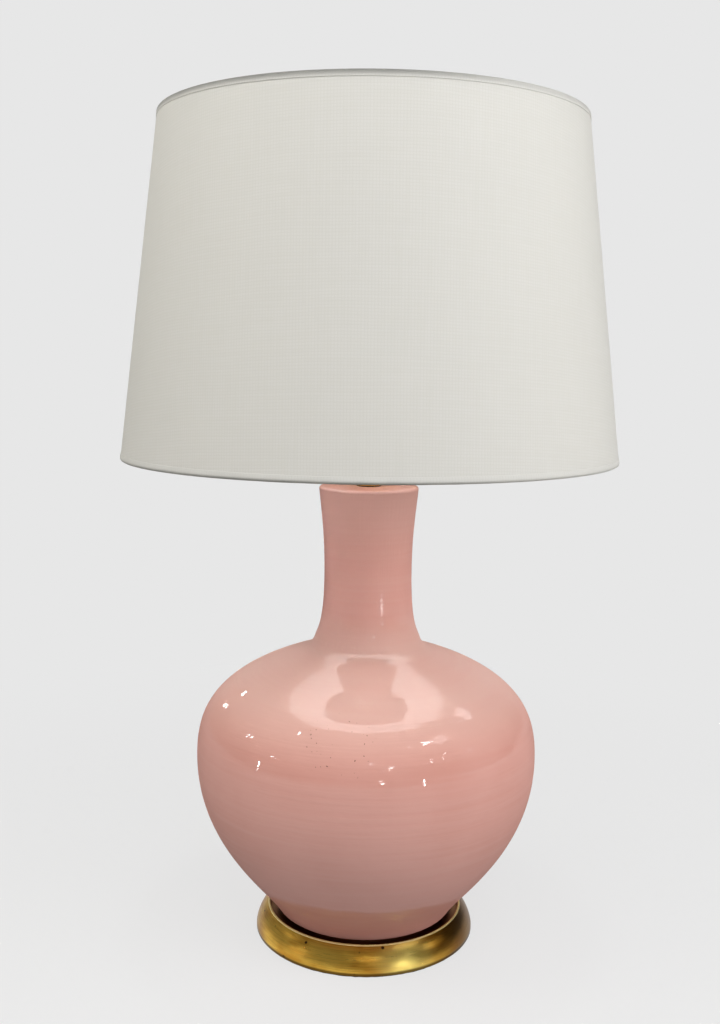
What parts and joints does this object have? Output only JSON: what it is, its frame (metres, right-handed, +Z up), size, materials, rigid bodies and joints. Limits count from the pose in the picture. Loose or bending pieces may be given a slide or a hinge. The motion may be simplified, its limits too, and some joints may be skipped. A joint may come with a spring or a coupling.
{
  "type": "vase table lamp",
  "caption": "Table lamp with a glazed pink bottle-shaped vase on a round brass base, a harp over the bulb socket and a white tapered drum shade of woven fabric.",
  "frame": {"origin": "centre of the felt underside that rests on the table", "axes": "+Z is up, -Y is the front with the switch knob, +Y is the back with the cord inlet, the harp lies in the XZ plane"},
  "size_m": [0.4181, 0.418, 0.7116],
  "materials": {
    "pink_glaze": "high-gloss salmon-pink glaze over stoneware",
    "antique_brass": "spun, brushed round and lacquered",
    "polished_brass": "polished",
    "shade_fabric": "plain-woven white linen blend",
    "shade_lining": "smooth white styrene sheet",
    "white_wire": "white coated steel wire",
    "zinc_steel": "zinc-plated",
    "black_rubber": "matt",
    "dark_felt": "pressed felt",
    "dark_phenolic": "moulded, satin",
    "brown_card": "pressed card",
    "frosted_glass": "frosted inside",
    "bright_aluminium": "rolled thread"
  },
  "bodies": {
    "lamp": {"felt_pad": "dark_felt", "base_shell": "antique_brass", "cord_bushing": "dark_phenolic", "bottom_washer": "zinc_steel", "bottom_lock_washer": "zinc_steel", "bottom_nut": "zinc_steel", "vase": "pink_glaze", "threaded_rod": "zinc_steel", "neck_gasket": "black_rubber", "vase_cap": "polished_brass", "neck_spacer": "polished_brass", "upper_nut": "polished_brass", "harp_saddle": "polished_brass", "socket_cap": "polished_brass", "socket_set_screw": "zinc_steel", "socket_shell": "polished_brass", "socket_insulator": "brown_card", "socket_core": "dark_phenolic", "terminal_screws": "polished_brass", "screw_shell": "bright_aluminium", "centre_contact": "polished_brass"},
    "switch": {"switch_stem": "polished_brass", "switch_knob": "dark_phenolic"},
    "bulb_plug": {"bulb_contact": "dark_phenolic"},
    "bulb": {"bulb_globe": "frosted_glass", "bulb_cap": "bright_aluminium"},
    "harp": {"harp_bow": "polished_brass", "harp_stud": "polished_brass"},
    "left_sleeve": {"left_harp_sleeve": "polished_brass"},
    "right_sleeve": {"right_harp_sleeve": "polished_brass"},
    "shade": {"shade_cover": "shade_fabric", "shade_liner": "shade_lining", "shade_top_hem": "shade_fabric", "shade_bottom_hem": "shade_fabric", "shade_top_ring": "white_wire", "shade_bottom_ring": "white_wire", "spider_arms": "white_wire", "spider_hub": "white_wire"},
    "finial_core": {"finial_insert": "polished_brass"},
    "finial": {"finial_knob": "polished_brass"}
  },
  "joints": [
    {"name": "switch_turn", "type": "hinge", "parent": "lamp", "child": "switch", "pos_m": [0, -0.0206, 0.4595], "axis": [0, -1, 0], "continuous": true},
    {"name": "bulb_rise", "type": "slide", "parent": "lamp", "child": "bulb_plug", "axis": [0, 0, 1], "range_m": [0, 0.0127]},
    {"name": "bulb_turn", "type": "hinge", "parent": "bulb_plug", "child": "bulb", "pos_m": [0, 0, 0.48], "axis": [0, 0, 1], "range_deg": [0, 1260]},
    {"name": "harp_lift", "type": "slide", "parent": "lamp", "child": "harp", "axis": [0, 0, 1], "range_m": [0, 0.03]},
    {"name": "left_sleeve_slide", "type": "slide", "parent": "harp", "child": "left_sleeve", "axis": [0, 0, 1], "range_m": [0, 0.012]},
    {"name": "right_sleeve_slide", "type": "slide", "parent": "harp", "child": "right_sleeve", "axis": [0, 0, 1], "range_m": [0, 0.012]},
    {"name": "shade_turn", "type": "hinge", "parent": "harp", "child": "shade", "pos_m": [0, 0, 0.683], "axis": [0, 0, 1], "continuous": true},
    {"name": "finial_rise", "type": "slide", "parent": "harp", "child": "finial_core", "axis": [0, 0, 1], "range_m": [0, 0.00941]},
    {"name": "finial_turn", "type": "hinge", "parent": "finial_core", "child": "finial", "pos_m": [0, 0, 0.69], "axis": [0, 0, 1], "range_deg": [0, 3600]}
  ],
  "couplings": [
    {"joint": "bulb_turn", "follows": "bulb_rise", "rad_per_m": 1731.6},
    {"joint": "finial_turn", "follows": "finial_rise", "rad_per_m": 6679}
  ]
}
